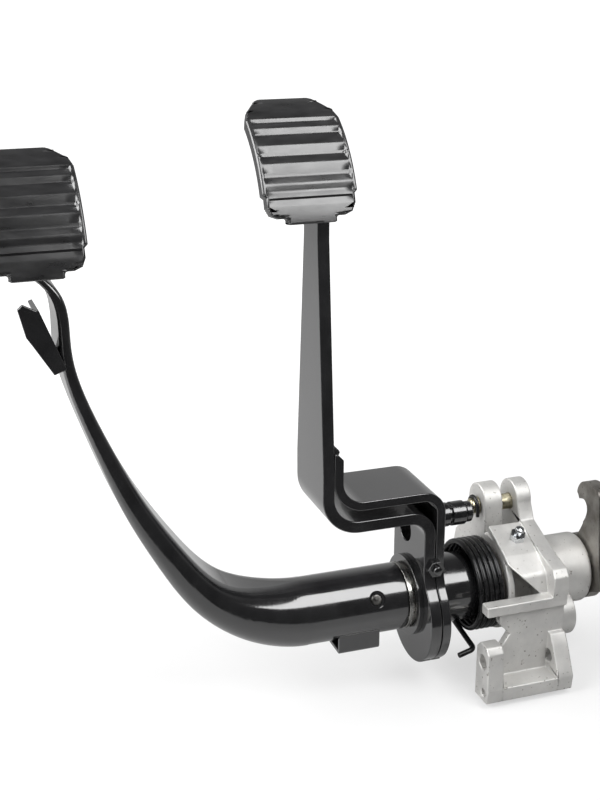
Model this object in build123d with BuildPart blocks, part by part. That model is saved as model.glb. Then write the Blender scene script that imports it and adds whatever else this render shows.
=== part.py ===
from build123d import *
from math import cos, degrees, radians, sin, sqrt
import os

os.makedirs("parts", exist_ok=True)

# Frame: millimetres, the pedal shaft runs along X, the pads face -Y and Z is up.
# The origin lies on the shaft axis, beside the brake lever.

# Running clearances
running_fit = 0.04
side_play = 0.1

# Pedal shaft and its fittings
shaft_radius = 10.0
shaft_grip = 40.0
pin_radius = 3.6
pin_position = 20.5
pin_tilt = 27.0
pin_recess_radius = 5.3
pin_recess_depth = 1.5

# Brake lever: two bent bars welded to one hub
arm_face_x = 1.0
arm_thickness = 7.0
brace_thickness = 5.5
brace_slit = 0.5
bar_width = 46.0
arm_top_width = 23.0
arm_offset = 64.0
arm_step_height = 60.5
arm_inner_bend = 9.0
arm_outer_bend = 16.0
brace_gap = 6.5
brace_reach = 34.0
brace_end_chamfer = 4.0
taper_start = 95.0
taper_end = 228.0
lobe_radius = 32.0
lobe_back = 5.0
lobe_drop = 9.0
lobe_blend = 24.0
lightening_hole_radius = 8.0
lightening_hole_y = 6.0
lightening_hole_z = 41.5
lobe_side_reach = 41.6
small_chamfer = 0.8

# Brake hub
hub_radius = 21.5
hub_bore_radius = 13.0
hub_right_x = 52.5
collar_radius = 25.0
collar_width = 3.0
bush_flange_radius = 19.0
bush_flange_width = 1.5
bush_length = 18.0

# Thrust washer between the clutch tube and the brake hub
washer_radius = 20.5
washer_width = 2.4

# Clutch lever: a round tube pressed flat towards its pad
tube_radius = 20.5
tube_end_chamfer = 1.2
tube_straight = 62.0
loft_flat = 0.4
lever_cut_half = 16.0
lever_cut_top = 300.0

# Pads
pad_width = 50.0
pad_arc_radius = 74.0
pad_low_angle = 12.5
pad_fold_angle = 57.5
pad_top_angle = 73.0
pad_tab_angle = 9.8
rubber_front = 5.5
pad_plate_thickness = 2.5
rubber_back = 1.5
rubber_rim = 2.0
rubber_lip = 6.0
brake_pad_x = -73.5
brake_pad_face = (-15.93987, 279.83126)
clutch_pad_x = -217.0
clutch_pad_face = (-22.93987, 262.83126)
pad_tab_width = 27.0
pad_corner = 6.0
pad_notch_depth = 2.5
pad_notch_height = 11.0
pad_outline_reach = 1.0
pad_top_width = 26.0
pad_cut_depth = 30.0
rib_height = 1.8
rib_root = 1.0
rib_inset = 2.5
ribs = ((14.8, 5.0), (20.8, 2.6), (26.0, 3.8), (34.0, 4.6), (42.6, 4.8), (51.6, 4.6))

# Pushrod pin on the brace
rod_pin_y = -10.0
rod_pin_z = 54.5
rod_pin_radius = 7.3
rod_pin_neck_radius = 5.6
rod_pin_base = 6.5
rod_pin_neck = 2.0
rod_pin_seat = 8.5
rod_pin_end = 4.0

# Return spring
spring_radius = 29.0
wire_radius = 1.7
spring_turns = 5.167
coil_pitch = 3.45
spring_side_gap = 0.4
spring_bend = 4.0
spring_hook_reach = 11.0

spring_start = -82.6
spring_leg_front = 30.0
spring_leg_back = 22.0
spring_rest_gap = 0.2

# Stop tag on the clutch lever, outline as X and Z
tag_thickness = 2.5
tag_front = -21.0
tag_depth = 24.0
tag_corners = (
    (-222.0, 191.1),
    (-225.5, 206.0),
    (-222.8, 208.4),
    (-216.1, 204.7),
    (-203.6, 172.0),
    (-209.0, 170.0),
    (-218.8, 186.1),
)

# Stop channel under the clutch tube
channel_left_x = -50.0
channel_right_x = -24.0
channel_front = -17.0
channel_back = 2.0
channel_low = -24.5
channel_wall = 2.5

# Casting
cheek_thickness = 4.0
cheek_radius = 30.0
ear_thickness = 12.0
ear_front = 7.0
ear_centre_z = 46.0
ear_radius = 12.0
cheek_lobe = ((51.7, 1.0), (48.0, 15.5), (34.5, 28.5), (30.0, 44.0))
flange_front = ((2.0, 36.4), (-24.6, 26.5), (-41.0, 22.5), (-44.5, 18.0), (-44.7, 6.2), (-36.0, -8.5))
web_crest_y = 3.0
web_crest_z = 36.5
web_knee_y = -20.0
web_knee_z = 26.0
web_shoulder_y = -32.0
web_shoulder_z = 18.0
web_foot_y = -37.0
web_foot_z = 1.0
web_thickness = 4.0
ear_pin_y = 18.5
ear_pin_z = 43.5
ear_pin_radius = 5.0
flange_x = 77.5
flange_thickness = 10.0
casting_height_low = -52.0
boss_radius = 22.2
boss_end_x = 118.0
boss_chamfer = 1.5
lug_relief = 0.5
barrel_radius = 17.0
casting_bush_wall = 3.0
casting_bush_length = 22.0
beam_front = -44.0
beam_depth = 8.5
beam_top = 5.5
beam_height = 6.7
beam_left_x = 34.0
front_plate_y = -35.0
front_plate_thickness = 6.0
front_plate_edge = ((44.0, 0.0), (44.0, -8.5), (51.0, -16.0), (45.0, -26.0), (38.0, -27.0))
foot_front = -57.0
foot_back = -40.0
foot_left_x = 29.5
foot_wall = 10.5
foot_floor = 9.0
foot_toe = 1.0
foot_ear_corner = 4.0
foot_far_slope = 8.0
foot_ear_top = -15.5
foot_hole_radius = 4.5
foot_hole_y = -48.5
foot_hole_z = -27.0
foot_pin_radius = 2.5
foot_pin_y = -51.0
foot_pin_z = -46.5
foot_far_top = -19.0
far_hole_radius = 4.0
far_hole_y = -43.0
far_hole_z = -34.0
pillar_back = -24.0
lug_radius = 14.0
lug_length = 10.5
bolt_radius = 4.5
front_bolt_y = -25.0
front_bolt_z = -16.0
rear_bolt_y = 32.0
rear_bolt_z = 12.0

# Cable hook
hook_gap = 0.6
hook_thickness = 8.0
hook_hub_radius = 21.0
hook_hub_width = 12.0
hook_front = ((-18.5, -10.2), (-29.5, -4.7), (-23.9, 28.5), (-20.8, 54.0))
hook_crown = ((-13.0, 60.0), (-6.6, 60.2), (2.7, 55.5), (5.0, 49.8), (2.0, 46.0))
hook_throat = ((-4.5, 47.3), (-8.0, 42.0), (-4.0, 32.0), (0.7, 22.4))
hook_hub_wall = 4.0
hook_root_y = 14.7
hook_washer_radius = 18.9

# Silver grease nipple on the web, accelerator pin and its clip
web_nipple_x = 69.5
web_nipple_y = -9.0
hex_radius = 5.0
brake_nipple_z = 27.0
brake_nipple_radius = 5.6
brake_nipple_height = 3.2
nipple_head_share = 0.62
nipple_round_share = 0.35
hex_height = 5.5
ear_pin_left_x = 50.0
ear_pin_right_x = 90.5
clip_x = 53.0
clip_wire = 1.1
clip_tail = 5.0


def side_plane(x):
    """Plane across the shaft: local x is Y, local y is Z, extrusion goes to +X."""
    return Plane(origin=(x, 0, 0), x_dir=(0, 1, 0), z_dir=(1, 0, 0))


def front_plane(y):
    """Upright plane along the shaft: local x is X, local y is Z, extrusion goes to -Y."""
    return Plane(origin=(0, y, 0), x_dir=(1, 0, 0), z_dir=(0, -1, 0))


def pad_point(centre, radius, angle):
    """Point of a pad's section, by radius and by the lean of the face from upright."""
    return (centre[0] - radius * cos(radians(angle)), centre[1] + radius * sin(radians(angle)))


def arc_centre(face):
    """Centre of a pad's arc, behind the middle of its face."""
    angle = radians(pad_middle_angle)
    return (face[0] + pad_arc_radius * cos(angle), face[1] - pad_arc_radius * sin(angle))


def under_pad(centre, y):
    """Point at a given Y where a lever meets the back of its pad plate."""
    return (y, centre[1] + sqrt(plate_back_radius**2 - (y - centre[0]) ** 2))


# Derived places shared by several pieces
plate_front_radius = pad_arc_radius - rubber_front
plate_back_radius = plate_front_radius - pad_plate_thickness
rubber_back_radius = plate_back_radius - rubber_back
pad_middle_angle = (pad_low_angle + pad_top_angle) / 2
brake_pad_centre = arc_centre(brake_pad_face)
clutch_pad_centre = arc_centre(clutch_pad_face)
pad_bevel = (pad_width - pad_top_width) / 2
arm_right_x = arm_face_x + arm_thickness
brace_face_x = arm_right_x + brace_slit
brace_right_x = brace_face_x + brace_thickness
arm_low_x = arm_face_x + arm_thickness / 2
arm_high_x = arm_low_x - arm_offset
brace_low_x = brace_face_x + brace_thickness / 2
brace_high_x = arm_high_x + (arm_thickness + brace_thickness) / 2
brace_step_height = arm_step_height + (arm_thickness + brace_thickness) / 2 + brace_gap
brace_end_z = brace_step_height + brace_reach
hub_left_x = arm_face_x - collar_width
washer_right_x = hub_left_x - bush_flange_width - side_play
washer_left_x = washer_right_x - washer_width
tube_end_x = washer_left_x
cross_pin_x = tube_end_x - pin_position
shaft_left_x = tube_end_x - shaft_grip
casting_bush_radius = shaft_radius + running_fit + casting_bush_wall
cheek_x = hub_right_x + 2 * bush_flange_width + side_play
flange_right_x = flange_x + flange_thickness
hook_x = boss_end_x + hook_gap + 2 * side_play
shaft_right_x = hook_x + hook_hub_width
coil_radius = spring_radius - wire_radius
spring_right_x = cheek_x - spring_side_gap - wire_radius
spring_left_x = spring_right_x - spring_turns * coil_pitch

# Brake lever, main bar
with BuildPart() as brake_arm:
    with BuildSketch(front_plane(bar_width / 2)):
        with BuildLine():
            FilletPolyline(
                (arm_low_x, -lobe_radius - lobe_drop),
                (arm_low_x, arm_step_height),
                (arm_high_x, arm_step_height),
                (arm_high_x, brake_pad_centre[1] + pad_arc_radius),
                radius=(arm_inner_bend + arm_thickness / 2, arm_outer_bend + arm_thickness / 2),
            )
        trace(line_width=arm_thickness)
    extrude(amount=bar_width)
    with BuildSketch(side_plane(arm_face_x)):
        Circle(lobe_side_reach)
    extrude(amount=arm_thickness)
    with BuildSketch(side_plane(arm_high_x - arm_thickness)):
        with BuildLine():
            Polyline(
                under_pad(brake_pad_centre, -arm_top_width / 2),
                (-arm_top_width / 2, taper_end),
                (-bar_width / 2, taper_start),
                (-bar_width / 2, 0),
                (bar_width / 2, 0),
                (bar_width / 2, taper_start),
                (arm_top_width / 2, taper_end),
                under_pad(brake_pad_centre, arm_top_width / 2),
            )
            ThreePointArc(
                under_pad(brake_pad_centre, arm_top_width / 2),
                under_pad(brake_pad_centre, 0),
                under_pad(brake_pad_centre, -arm_top_width / 2),
            )
        make_face()
        with Locations((-lobe_back, -lobe_drop)):
            Circle(lobe_radius)
        fillet(vertices().filter_by_position(Axis.Y, 1, lobe_radius), lobe_blend)
        Circle(hub_radius, mode=Mode.SUBTRACT)
    extrude(amount=arm_offset + 3 * arm_thickness, mode=Mode.INTERSECT)
    with BuildSketch(side_plane(arm_face_x)):
        with Locations((lightening_hole_y, lightening_hole_z)):
            Circle(lightening_hole_radius)
    extrude(amount=arm_thickness, mode=Mode.SUBTRACT)

# Brake lever, brace nested over the main bar
with BuildPart() as brake_brace:
    with BuildSketch(front_plane(bar_width / 2)):
        with BuildLine():
            FilletPolyline(
                (brace_low_x, -lobe_radius - lobe_drop),
                (brace_low_x, brace_step_height),
                (brace_high_x, brace_step_height),
                (brace_high_x, brace_end_z),
                radius=(arm_inner_bend + brace_thickness / 2, arm_outer_bend),
            )
        trace(line_width=brace_thickness)
    extrude(amount=bar_width)
    with BuildSketch(side_plane(brace_face_x)):
        Circle(lobe_side_reach)
    extrude(amount=brace_thickness)
    with BuildSketch(side_plane(arm_high_x - arm_thickness)):
        with Locations((0, brace_end_z / 2)):
            Rectangle(bar_width, brace_end_z)
        with Locations((-lobe_back, -lobe_drop)):
            Circle(lobe_radius)
        fillet(vertices().filter_by_position(Axis.Y, 1, lobe_radius), lobe_blend)
        Circle(hub_radius, mode=Mode.SUBTRACT)
    extrude(amount=arm_offset + 3 * arm_thickness, mode=Mode.INTERSECT)
    chamfer(edges().group_by(Axis.Z)[-1].filter_by(Axis.Y).sort_by(Axis.X)[-1], brace_end_chamfer)

# Brake hub through both bars
with BuildPart() as brake_hub:
    with BuildSketch(side_plane(hub_left_x)):
        Circle(hub_radius)
        Circle(hub_bore_radius, mode=Mode.SUBTRACT)
    extrude(amount=hub_right_x - hub_left_x)
    with BuildSketch(side_plane(hub_left_x)):
        Circle(collar_radius)
        Circle(hub_bore_radius, mode=Mode.SUBTRACT)
    extrude(amount=collar_width)


def flanged_bush(flange_start, sleeve_start, sleeve_length, outer_radius):
    """Plain bush with a thrust flange, running on the shaft."""
    with BuildPart() as bush:
        with BuildSketch(side_plane(sleeve_start)):
            Circle(outer_radius)
            Circle(shaft_radius + running_fit, mode=Mode.SUBTRACT)
        extrude(amount=sleeve_length)
        with BuildSketch(side_plane(flange_start)):
            Circle(bush_flange_radius)
            Circle(shaft_radius + running_fit, mode=Mode.SUBTRACT)
        extrude(amount=bush_flange_width)
    return bush


brake_bush_left = flanged_bush(hub_left_x - bush_flange_width, hub_left_x, bush_length, hub_bore_radius)
brake_bush_right = flanged_bush(hub_right_x, hub_right_x - bush_length, bush_length, hub_bore_radius)
casting_bush_left = flanged_bush(
    cheek_x - bush_flange_width, cheek_x, casting_bush_length, casting_bush_radius
)

with BuildPart() as casting_bush_right:
    with BuildSketch(side_plane(boss_end_x - casting_bush_length)):
        Circle(casting_bush_radius)
        Circle(shaft_radius + running_fit, mode=Mode.SUBTRACT)
    extrude(amount=casting_bush_length)

# Pushrod pin, riveted to the brace
with BuildPart() as pushrod_pin:
    steps = (
        (rod_pin_radius, rod_pin_base),
        (rod_pin_neck_radius, rod_pin_neck),
        (rod_pin_radius, rod_pin_seat),
        (rod_pin_neck_radius, rod_pin_neck / 2),
        (rod_pin_radius - 1, rod_pin_end),
    )
    step_x = brace_right_x
    for step_radius, step_length in steps:
        with BuildSketch(side_plane(step_x)):
            with Locations((rod_pin_y, rod_pin_z)):
                Circle(step_radius)
        extrude(amount=step_length)
        step_x += step_length
    chamfer(faces().sort_by(Axis.X)[-1].edges(), small_chamfer)

# Grease nipple on the front rim of the lever
with BuildPart() as brake_grease_nipple:
    nipple_plane = Plane(
        origin=(arm_right_x, -bar_width / 2, brake_nipple_z), x_dir=(1, 0, 0), z_dir=(0, -1, 0)
    )
    with BuildSketch(nipple_plane):
        RegularPolygon(radius=brake_nipple_radius, side_count=6)
    extrude(amount=brake_nipple_height)
    with BuildSketch(nipple_plane.offset(brake_nipple_height)):
        Circle(nipple_head_share * brake_nipple_radius)
    extrude(amount=brake_nipple_height)
    fillet(faces().sort_by(Axis.Y)[0].edges(), nipple_round_share * brake_nipple_radius)
    add(brake_arm.part, mode=Mode.SUBTRACT)
    add(brake_brace.part, mode=Mode.SUBTRACT)

# Clutch lever
lever_path = (
    (-76.0, 0.5, 5.0, 40.2, 41.3),
    (-86.0, 2.4, 11.0, 37.6, 42.2),
    (-100.0, 7.0, 20.0, 33.0, 43.0),
    (-127.0, 24.0, 46.0, 22.5, 44.0),
    (-150.0, 54.0, 57.5, 17.0, 44.0),
    (-171.5, 92.0, 64.0, 12.5, 43.0),
    (-184.0, 121.0, 68.0, 9.5, 41.0),
    (-194.5, 148.5, 73.0, 7.5, 37.0),
    (-201.5, 180.0, 79.0, 6.3, 32.0),
    (-207.0, 213.0, 81.5, 5.5, 27.0),
    (-214.5, 277.0, 83.5, 5.0, 24.0),
)
loft_start_x = tube_end_x - tube_straight

with BuildPart() as clutch_arm:
    with BuildSketch(side_plane(loft_start_x)):
        RectangleRounded(2 * tube_radius, 2 * tube_radius, tube_radius - loft_flat)
    for place_x, place_z, climb, thickness, width in lever_path:
        direction = (-cos(radians(climb)), 0, sin(radians(climb)))
        with BuildSketch(Plane(origin=(place_x, 0, place_z), x_dir=(0, 1, 0), z_dir=direction)):
            RectangleRounded(width, thickness, min(thickness, width) / 2 - loft_flat)
    loft()
    with BuildSketch(side_plane(loft_start_x)):
        Circle(tube_radius)
    extrude(amount=tube_straight)
    chamfer(faces().sort_by(Axis.X)[-1].edges(), tube_end_chamfer)
    with BuildSketch(side_plane(shaft_left_x)):
        Circle(shaft_radius)
    extrude(amount=shaft_grip, mode=Mode.SUBTRACT)
    pin_plane = Plane(
        origin=(cross_pin_x, 0, 0),
        x_dir=(1, 0, 0),
        z_dir=(0, -cos(radians(pin_tilt)), sin(radians(pin_tilt))),
    )
    with BuildSketch(pin_plane):
        Circle(pin_radius)
    extrude(amount=2 * tube_radius, both=True, mode=Mode.SUBTRACT)
    with BuildSketch(pin_plane.offset(tube_radius - pin_recess_depth)):
        Circle(pin_recess_radius)
    extrude(amount=tube_radius, mode=Mode.SUBTRACT)
    with BuildSketch(side_plane(loft_start_x)):
        with BuildLine():
            Polyline(
                under_pad(clutch_pad_centre, -lever_cut_half),
                (-lever_cut_half, lever_cut_top),
                (lever_cut_half, lever_cut_top),
                under_pad(clutch_pad_centre, lever_cut_half),
            )
            ThreePointArc(
                under_pad(clutch_pad_centre, lever_cut_half),
                under_pad(clutch_pad_centre, 0),
                under_pad(clutch_pad_centre, -lever_cut_half),
            )
        make_face()
    extrude(amount=-lever_cut_top, mode=Mode.SUBTRACT)

with BuildPart() as cross_pin:
    with BuildSketch(pin_plane.offset(-tube_radius + 1)):
        Circle(pin_radius)
    extrude(amount=2 * tube_radius - 2)
    chamfer(edges().filter_by(GeomType.CIRCLE), small_chamfer)

# Shaft with its cross hole
with BuildPart() as clutch_shaft:
    with BuildSketch(side_plane(shaft_left_x)):
        Circle(shaft_radius)
    extrude(amount=shaft_right_x - shaft_left_x)
    chamfer(edges().filter_by(GeomType.CIRCLE), 1)
    with BuildSketch(pin_plane):
        Circle(pin_radius)
    extrude(amount=2 * shaft_radius, both=True, mode=Mode.SUBTRACT)

with BuildPart() as thrust_washer:
    with BuildSketch(side_plane(washer_left_x)):
        Circle(washer_radius)
        Circle(shaft_radius + running_fit, mode=Mode.SUBTRACT)
    extrude(amount=washer_width)


def pad_band(centre, low_angle, high_angle, outer_radius, inner_radius, start_x):
    """Section of a curved pad layer, between two radii and two leans of the face."""
    middle_angle = (low_angle + high_angle) / 2
    with BuildSketch(side_plane(start_x)) as band:
        with BuildLine():
            ThreePointArc(
                pad_point(centre, outer_radius, low_angle),
                pad_point(centre, outer_radius, middle_angle),
                pad_point(centre, outer_radius, high_angle),
            )
            Line(pad_point(centre, outer_radius, high_angle), pad_point(centre, inner_radius, high_angle))
            ThreePointArc(
                pad_point(centre, inner_radius, high_angle),
                pad_point(centre, inner_radius, middle_angle),
                pad_point(centre, inner_radius, low_angle),
            )
            Line(pad_point(centre, inner_radius, low_angle), pad_point(centre, outer_radius, low_angle))
        make_face()
    return band.sketch


def pad_outline(centre, middle_x, margin):
    """Sides of a pad seen from its front, pulled in by a margin, open above and below."""
    lean = radians(pad_middle_angle)
    face_y, face_z = pad_point(centre, pad_arc_radius + rubber_front, pad_middle_angle)
    half = pad_width / 2 - margin
    low = pad_arc_radius * sin(radians(pad_low_angle - pad_middle_angle)) + margin
    fold = pad_arc_radius * sin(radians(pad_fold_angle - pad_middle_angle)) - margin
    top = pad_arc_radius * sin(radians(pad_top_angle - pad_middle_angle)) - margin
    slope = pad_bevel / (top - fold)
    ear = half - pad_notch_depth
    notch = low + pad_notch_height
    right_side = [
        (ear - pad_corner - pad_outline_reach, low - pad_outline_reach),
        (ear, low + pad_corner),
        (ear, notch),
        (half, notch + pad_notch_depth),
        (half, fold),
        (half - pad_bevel - slope * pad_outline_reach, top + pad_outline_reach),
    ]
    left_side = [(-across, along) for across, along in reversed(right_side)]
    with BuildSketch(
        Plane(origin=(middle_x, face_y, face_z), x_dir=(1, 0, 0), z_dir=(0, -cos(lean), sin(lean)))
    ) as outline:
        with BuildLine():
            Polyline(*right_side, *left_side, close=True)
        make_face()
    return outline.sketch


def make_pad_layer(centre, middle_x, margin, outer_radius, inner_radius):
    """One layer of a pad between two radii, with its lower tab."""
    start_x = middle_x - pad_width / 2
    spread = degrees(margin / pad_arc_radius)
    tab_half = pad_tab_width / 2 - margin
    low = pad_low_angle + spread
    with BuildPart() as layer:
        extrude(
            pad_band(centre, low, pad_top_angle - spread, outer_radius, inner_radius, start_x),
            amount=pad_width,
        )
        extrude(pad_outline(centre, middle_x, margin), amount=-pad_cut_depth, mode=Mode.INTERSECT)
        extrude(
            pad_band(
                centre, pad_tab_angle + spread, low + 1, outer_radius, inner_radius, middle_x - tab_half
            ),
            amount=2 * tab_half,
        )
    return layer


def make_pad_rubber(centre, middle_x, plate, lever):
    """Rubber cover with cross ribs, a rim round the plate and lips behind it."""
    ground_radius = pad_arc_radius - rib_height
    body = make_pad_layer(centre, middle_x, 0, ground_radius, rubber_back_radius)
    window = make_pad_layer(
        centre, middle_x, rubber_rim + rubber_lip, plate_back_radius, rubber_back_radius - 1
    )
    with BuildPart() as rubber:
        add(body.part)
        for rib_angle, rib_spread in ribs:
            extrude(
                pad_band(
                    centre,
                    rib_angle - rib_spread / 2,
                    rib_angle + rib_spread / 2,
                    pad_arc_radius,
                    ground_radius - rib_root,
                    middle_x - pad_width / 2 + pad_notch_depth + rib_inset,
                ),
                amount=pad_width - 2 * pad_notch_depth - 2 * rib_inset,
            )
        extrude(
            pad_band(
                centre, pad_fold_angle, pad_top_angle, pad_arc_radius, ground_radius - rib_root,
                middle_x - pad_width / 2,
            ),
            amount=pad_width,
        )
        extrude(pad_outline(centre, middle_x, 0), amount=-pad_cut_depth, mode=Mode.INTERSECT)
        add(body.part)
        add(plate.part, mode=Mode.SUBTRACT)
        add(window.part, mode=Mode.SUBTRACT)
        add(lever.part, mode=Mode.SUBTRACT)
    return rubber


brake_pad_plate = make_pad_layer(
    brake_pad_centre, brake_pad_x, rubber_rim, plate_front_radius, plate_back_radius
)
clutch_pad_plate = make_pad_layer(
    clutch_pad_centre, clutch_pad_x, rubber_rim, plate_front_radius, plate_back_radius
)
brake_pad_rubber = make_pad_rubber(brake_pad_centre, brake_pad_x, brake_pad_plate, brake_arm)
clutch_pad_rubber = make_pad_rubber(clutch_pad_centre, clutch_pad_x, clutch_pad_plate, clutch_arm)

# Stop tag, a folded strip welded beside the clutch lever
with BuildPart() as stop_tag:
    with BuildSketch(front_plane(tag_front + tag_thickness)):
        with BuildLine():
            Polyline(*tag_corners, close=True)
        make_face()
    extrude(amount=tag_thickness)
    with BuildSketch(front_plane(tag_front + tag_depth)):
        with BuildLine():
            Line(tag_corners[3], tag_corners[4])
        trace(line_width=tag_thickness)
    extrude(amount=tag_depth)
    add(clutch_arm.part, mode=Mode.SUBTRACT)

# Stop channel, open at both ends and welded under the tube
with BuildPart() as stop_channel:
    with BuildSketch(side_plane(channel_left_x)):
        with Locations(((channel_front + channel_back) / 2, channel_low / 2)):
            Rectangle(channel_back - channel_front, -channel_low)
        fillet(vertices().group_by(Axis.Y)[0], channel_wall)
        with Locations(((channel_front + channel_back) / 2, channel_low / 2 + channel_wall)):
            Rectangle(channel_back - channel_front - 2 * channel_wall, -channel_low, mode=Mode.SUBTRACT)
        Circle(tube_radius, mode=Mode.SUBTRACT)
    extrude(amount=channel_right_x - channel_left_x)

# Casting
with BuildPart() as mounting_casting:
    with BuildSketch(side_plane(cheek_x)):
        Circle(cheek_radius)
        with BuildLine():
            Polyline((ear_front, 0), *cheek_lobe, (ear_front, ear_centre_z), close=True)
        make_face()
    extrude(amount=cheek_thickness)
    for ear_x, ear_width in ((cheek_x, ear_thickness), (flange_x, flange_thickness)):
        with BuildSketch(side_plane(ear_x)):
            with Locations((ear_front + ear_radius, ear_centre_z)):
                Circle(ear_radius)
            with Locations((ear_front + ear_radius, ear_centre_z / 2)):
                Rectangle(2 * ear_radius, ear_centre_z)
        extrude(amount=ear_width)
    with BuildSketch(side_plane(flange_x)):
        Circle(cheek_radius)
        with Locations((rear_bolt_y, rear_bolt_z)):
            Circle(lug_radius)
        with BuildLine():
            Polyline(
                (ear_front, ear_centre_z),
                *flange_front,
                (front_plate_y, foot_far_top),
                (front_plate_y, casting_height_low),
                (pillar_back, casting_height_low),
                (pillar_back, 0),
                (ear_front + ear_radius, 0),
                close=True,
            )
        make_face()
        with BuildLine():
            Polyline(
                (ear_front + ear_radius, 0),
                (rear_bolt_y + lug_radius, rear_bolt_z),
                (ear_front + 2 * ear_radius, ear_centre_z),
                (ear_front, ear_centre_z),
                close=True,
            )
        make_face()
    extrude(amount=flange_thickness)
    with BuildSketch(side_plane(cheek_x)):
        Circle(barrel_radius)
    extrude(amount=flange_right_x - cheek_x)
    with BuildSketch(side_plane(flange_right_x)):
        Circle(boss_radius)
    extrude(amount=boss_end_x - flange_right_x)
    chamfer(faces().sort_by(Axis.X)[-1].edges(), boss_chamfer)
    with BuildSketch(side_plane(flange_right_x)):
        with Locations((front_bolt_y, front_bolt_z), (rear_bolt_y, rear_bolt_z)):
            Circle(lug_radius)
        Circle(boss_radius + lug_relief, mode=Mode.SUBTRACT)
    extrude(amount=lug_length)
    with BuildPart(mode=Mode.PRIVATE) as web:
        with BuildSketch(side_plane(cheek_x)):
            with BuildLine():
                FilletPolyline(
                    (web_crest_y, web_crest_z - web_thickness / 2),
                    (web_knee_y, web_knee_z - web_thickness / 2),
                    (web_shoulder_y, web_shoulder_z - web_thickness / 2),
                    (web_foot_y, web_foot_z - web_thickness / 2),
                    radius=web_thickness,
                )
            trace(line_width=web_thickness)
        extrude(amount=flange_x - cheek_x)
        with BuildSketch(front_plane(web_crest_y)):
            with BuildLine():
                Polyline(
                    (cheek_x, web_knee_z - web_thickness),
                    (flange_x, web_foot_z),
                    (flange_x, web_foot_z - web_knee_z),
                    (cheek_x, web_foot_z - web_knee_z),
                    close=True,
                )
            make_face()
        extrude(amount=pad_width, mode=Mode.SUBTRACT)
    add(web.part)
    with BuildSketch(front_plane(beam_front + beam_depth)):
        with Locations(((beam_left_x + flange_right_x) / 2, beam_top - beam_height / 2)):
            Rectangle(flange_right_x - beam_left_x, beam_height)
    extrude(amount=beam_depth)
    with BuildSketch(front_plane(front_plate_y)):
        with BuildLine():
            Polyline(
                *front_plate_edge,
                (front_plate_edge[-1][0], casting_height_low),
                (flange_right_x, casting_height_low),
                (flange_right_x, 0),
                close=True,
            )
        make_face()
    extrude(amount=front_plate_thickness)
    with BuildSketch(side_plane(foot_left_x)):
        with BuildLine():
            Polyline(
                (foot_back, casting_height_low),
                (foot_front + foot_toe, casting_height_low),
                (foot_front, casting_height_low + foot_floor),
                (foot_front + foot_toe, foot_ear_top - foot_ear_corner),
                (foot_front + foot_ear_corner, foot_ear_top),
                (foot_back - foot_ear_corner, foot_ear_top),
                (foot_back, foot_ear_top - foot_ear_corner),
                close=True,
            )
        make_face()
        with Locations((foot_hole_y, foot_hole_z)):
            Circle(foot_hole_radius, mode=Mode.SUBTRACT)
        with Locations((foot_pin_y, foot_pin_z)):
            Circle(foot_pin_radius, mode=Mode.SUBTRACT)
    extrude(amount=foot_wall)
    with BuildSketch(side_plane(flange_right_x - foot_wall)):
        with BuildLine():
            Polyline(
                (pillar_back, casting_height_low),
                (foot_front + foot_toe, casting_height_low),
                (foot_front, casting_height_low + foot_floor),
                (foot_front + foot_far_slope, foot_far_top - foot_far_slope),
                (front_plate_y - foot_floor, foot_far_top),
                (pillar_back, foot_far_top),
                close=True,
            )
        make_face()
    extrude(amount=foot_wall)
    with BuildSketch(front_plane(front_plate_y)):
        with Locations(
            ((foot_left_x + flange_right_x) / 2, casting_height_low + foot_floor / 2)
        ):
            Rectangle(flange_right_x - foot_left_x - foot_wall, foot_floor)
    extrude(amount=front_plate_y - foot_front - foot_toe)
    with BuildSketch(side_plane(cheek_x)):
        Circle(casting_bush_radius)
    extrude(amount=boss_end_x - cheek_x, mode=Mode.SUBTRACT)
    with BuildSketch(side_plane(cheek_x)):
        with Locations((ear_pin_y, ear_pin_z)):
            Circle(ear_pin_radius)
    extrude(amount=flange_right_x - cheek_x, mode=Mode.SUBTRACT)
    with BuildSketch(side_plane(flange_x)):
        with Locations((front_bolt_y, front_bolt_z), (rear_bolt_y, rear_bolt_z)):
            Circle(bolt_radius)
    extrude(amount=flange_thickness + lug_length, mode=Mode.SUBTRACT)

    with BuildSketch(side_plane(flange_right_x - foot_wall)):
        with Locations((far_hole_y, far_hole_z)):
            Circle(far_hole_radius)
    extrude(amount=foot_wall, mode=Mode.SUBTRACT)

# Grease nipple on the sloping web
web_slope = (web_crest_z - web_knee_z) / (web_crest_y - web_knee_y)
web_fall = sqrt(1 + web_slope**2)
with BuildPart() as web_grease_nipple:
    web_plane = Plane(
        origin=(web_nipple_x, web_nipple_y, web_knee_z + (web_nipple_y - web_knee_y) * web_slope),
        x_dir=(1, 0, 0),
        z_dir=(0, -web_slope / web_fall, 1 / web_fall),
    )
    with BuildSketch(web_plane.offset(-web_thickness / 4)):
        RegularPolygon(radius=hex_radius, side_count=6)
    extrude(amount=hex_height)
    with BuildSketch(web_plane.offset(hex_height - web_thickness / 4)):
        Circle(nipple_head_share * hex_radius)
    extrude(amount=hex_height)
    fillet(faces().sort_by(Axis.Z)[-1].edges(), nipple_round_share * hex_radius)
    add(mounting_casting.part, mode=Mode.SUBTRACT)

# Accelerator pin through both ears
with BuildPart() as accelerator_pin:
    with BuildSketch(side_plane(ear_pin_left_x)):
        with Locations((ear_pin_y, ear_pin_z)):
            Circle(ear_pin_radius)
    extrude(amount=ear_pin_right_x - ear_pin_left_x)
    chamfer(edges().filter_by(GeomType.CIRCLE), small_chamfer)

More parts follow.
